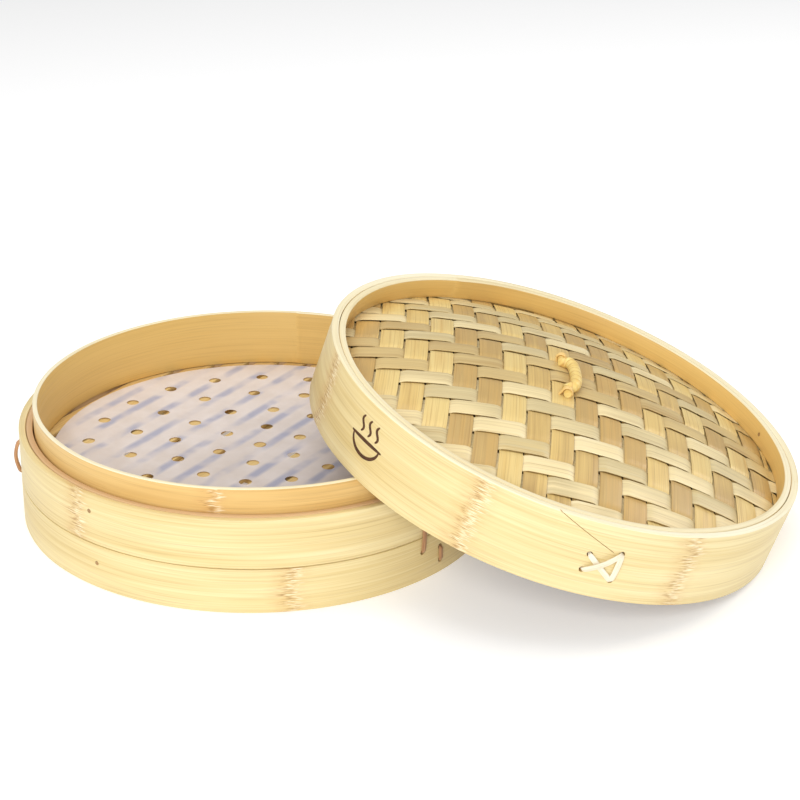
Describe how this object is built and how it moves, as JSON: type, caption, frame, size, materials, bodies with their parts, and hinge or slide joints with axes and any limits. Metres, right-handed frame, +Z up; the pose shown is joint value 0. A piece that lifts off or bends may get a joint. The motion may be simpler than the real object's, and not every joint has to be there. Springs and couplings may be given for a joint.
{
  "type": "bamboo steamer basket",
  "caption": "Round bamboo steamer basket with a slatted floor and a perforated paper liner, and a domed woven lid with a rattan loop leaning on its rim.",
  "frame": {"origin": "on the table, under the middle of the bounding box of the basket with its lid leaning on it", "axes": "+Z up; the lid leans and slopes down towards +X; the camera side of the object, with the lid's lacing, faces -Y"},
  "size_m": [0.4124, 0.254, 0.1157],
  "materials": {
    "outer_bands": "planed pale bamboo, satin",
    "inner_hoops": "inner face of bamboo strip, warm yellow, satin",
    "slats": "split bamboo, matt",
    "warp_strips": "woven bamboo strip, satin",
    "weft_strips": "woven bamboo strip, satin",
    "lining": "dry bamboo sheath, matt",
    "parchment": "thin baking parchment, translucent",
    "rattan": "split rattan, satin",
    "lacing": "bleached flat rattan, satin",
    "pins": "dark bamboo pin ends, matt"
  },
  "bodies": {
    "basket": {"basket_lower_band": "outer_bands", "basket_upper_band": "outer_bands", "basket_middle_hoop": "outer_bands", "basket_inner_hoop": "inner_hoops", "floor_support_hoop": "inner_hoops", "floor_slat_01": "slats", "floor_slat_02": "slats", "floor_slat_03": "slats", "floor_slat_04": "slats", "floor_slat_05": "slats", "floor_slat_06": "slats", "floor_slat_07": "slats", "floor_slat_08": "slats", "floor_slat_09": "slats", "floor_slat_10": "slats", "floor_slat_11": "slats", "floor_slat_12": "slats", "floor_slat_13": "slats", "floor_slat_14": "slats", "floor_slat_15": "slats", "floor_batten_1": "slats", "floor_batten_2": "slats", "floor_batten_3": "slats", "stitch_loop_left": "rattan", "stitch_strand_right": "rattan", "stitch_strand_low": "rattan", "basket_pin_upper": "pins", "basket_pin_lower": "pins"},
    "liner": {"parchment_liner": "parchment"},
    "lid_peg": {"handle_peg": "slats"},
    "lid": {"lid_outer_band": "outer_bands", "lid_upper_hoop": "inner_hoops", "lid_lower_hoop": "inner_hoops", "mat_warp_strips": "warp_strips", "mat_weft_strips": "weft_strips", "lid_lining": "lining", "lid_lacing": "lacing", "lid_pin": "pins", "handle_tie_1": "rattan", "handle_tie_2": "rattan"},
    "handle": {"handle_loop": "rattan"}
  },
  "joints": [
    {"name": "liner_lift", "type": "slide", "parent": "basket", "child": "liner", "axis": [0, 0, 1], "range_m": [0, 0.03]},
    {"name": "lid_carry", "type": "hinge", "parent": "basket", "child": "lid_peg", "pos_m": [-0.00173, 0, 0.08561], "axis": [0, -1, 0], "range_deg": [0, 180]},
    {"name": "lid_level", "type": "hinge", "parent": "lid_peg", "child": "lid", "pos_m": [0.08078, 0, 0.07953], "axis": [0, -1, 0], "range_deg": [-162.4, 0]},
    {"name": "handle_swing", "type": "hinge", "parent": "lid", "child": "handle", "pos_m": [0.0831, 0, 0.0868], "axis": [0.1981, -0.9781, -0.0631], "range_deg": [0, 130]}
  ],
  "couplings": [
    {"joint": "lid_level", "follows": "lid_carry", "ratio": -0.90178}
  ]
}
